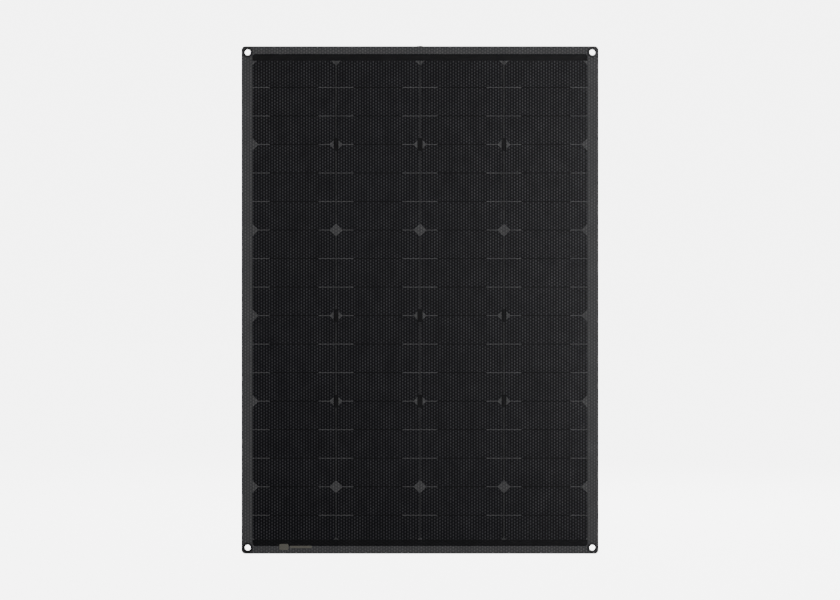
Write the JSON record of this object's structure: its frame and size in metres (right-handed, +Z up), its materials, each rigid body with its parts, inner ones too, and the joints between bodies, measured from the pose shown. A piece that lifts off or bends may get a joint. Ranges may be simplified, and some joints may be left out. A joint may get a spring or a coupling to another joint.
{
  "type": "flexible solar sheet",
  "caption": "Thin bendable solar sheet with back-contact cell strips, embossed front film, corner eyelets and a rear junction box with a hinged lid.",
  "frame": {"origin": "midway between the centres of the two upper eyelet holes, on the back face of the backsheet", "axes": "+Z up towards the sheet's upper edge, -Y out of the cell side, +Y out of the back, +X to the right seen from the cell side"},
  "size_m": [0.538, 0.0197, 0.766],
  "materials": {
    "clear_film": "embossed clear ETFE film, near-black over the cells",
    "encapsulant": "clear EVA",
    "black_silicon": "black anti-reflection coated silicon",
    "glass_fibre_core": "glass-fibre sheet",
    "backsheet": "satin black film",
    "black_mask": "matt black film",
    "tinned_copper": "tinned copper ribbon",
    "black_eyelet": "black plated",
    "cream_print": "printed film, blank",
    "box_plastic": "moulded, fine spark texture",
    "seal_rubber": "moulded",
    "adhesive_foam": "foam",
    "steel": "ground",
    "diode_body": "moulded epoxy",
    "rating_plate": "blank printed foil"
  },
  "bodies": {
    "sheet_upper": {"front_film_upper": "clear_film", "front_encapsulant_upper": "encapsulant", "cell_string_1_upper": "black_silicon", "cell_string_2_upper": "black_silicon", "cell_string_3_upper": "black_silicon", "cell_string_4_upper": "black_silicon", "rear_encapsulant_upper": "encapsulant", "core_sheet_upper": "glass_fibre_core", "backsheet_upper": "backsheet", "eyelet_upper_left": "black_eyelet", "eyelet_washer_upper_left": "black_eyelet", "eyelet_upper_right": "black_eyelet", "eyelet_washer_upper_right": "black_eyelet", "top_bus_left": "tinned_copper", "top_bus_middle": "tinned_copper", "top_bus_right": "tinned_copper", "top_mask": "black_mask", "rating_plate": "rating_plate", "adhesive_pad": "adhesive_foam", "box_base": "box_plastic", "lid_gasket": "seal_rubber", "lid_hinge_pin": "steel", "terminal_plus": "tinned_copper", "terminal_middle": "tinned_copper", "terminal_minus": "tinned_copper", "bypass_diode_1": "diode_body", "bypass_diode_2": "diode_body", "gland_seal": "seal_rubber", "gland_slip_ring": "box_plastic"},
    "sheet_middle": {"front_film_middle": "clear_film", "front_encapsulant_middle": "encapsulant", "cell_string_1_middle": "black_silicon", "cell_string_2_middle": "black_silicon", "cell_string_3_middle": "black_silicon", "cell_string_4_middle": "black_silicon", "rear_encapsulant_middle": "encapsulant", "core_sheet_middle": "glass_fibre_core", "backsheet_middle": "backsheet"},
    "sheet_lower": {"front_film_lower": "clear_film", "front_encapsulant_lower": "encapsulant", "cell_string_1_lower": "black_silicon", "cell_string_2_lower": "black_silicon", "cell_string_3_lower": "black_silicon", "cell_string_4_lower": "black_silicon", "rear_encapsulant_lower": "encapsulant", "core_sheet_lower": "glass_fibre_core", "backsheet_lower": "backsheet", "eyelet_lower_left": "black_eyelet", "eyelet_washer_lower_left": "black_eyelet", "eyelet_lower_right": "black_eyelet", "eyelet_washer_lower_right": "black_eyelet", "bottom_bus_left": "tinned_copper", "bottom_bus_right": "tinned_copper", "bottom_mask": "black_mask", "label_tab": "cream_print", "label_line": "cream_print"},
    "junction_box_lid": {"box_lid": "box_plastic"},
    "gland_nut": {"gland_nut": "box_plastic"}
  },
  "joints": [
    {"name": "upper_flex", "type": "hinge", "parent": "sheet_upper", "child": "sheet_middle", "pos_m": [0, -0.00143, -0.26768], "axis": [1, 0, 0], "range_deg": [-15, 15], "stiffness_Nm_per_rad": 20},
    {"name": "lower_flex", "type": "hinge", "parent": "sheet_middle", "child": "sheet_lower", "pos_m": [0, -0.00143, -0.52548], "axis": [1, 0, 0], "range_deg": [-15, 15], "stiffness_Nm_per_rad": 20},
    {"name": "lid_hinge", "type": "hinge", "parent": "sheet_upper", "child": "junction_box_lid", "pos_m": [0, 0.0142, -0.0577], "axis": [-1, 0, 0], "range_deg": [0, 110]},
    {"name": "gland_turn", "type": "hinge", "parent": "sheet_upper", "child": "gland_nut", "pos_m": [0, 0.0076, 0], "axis": [0, 0, 1], "range_deg": [0, 480]}
  ]
}
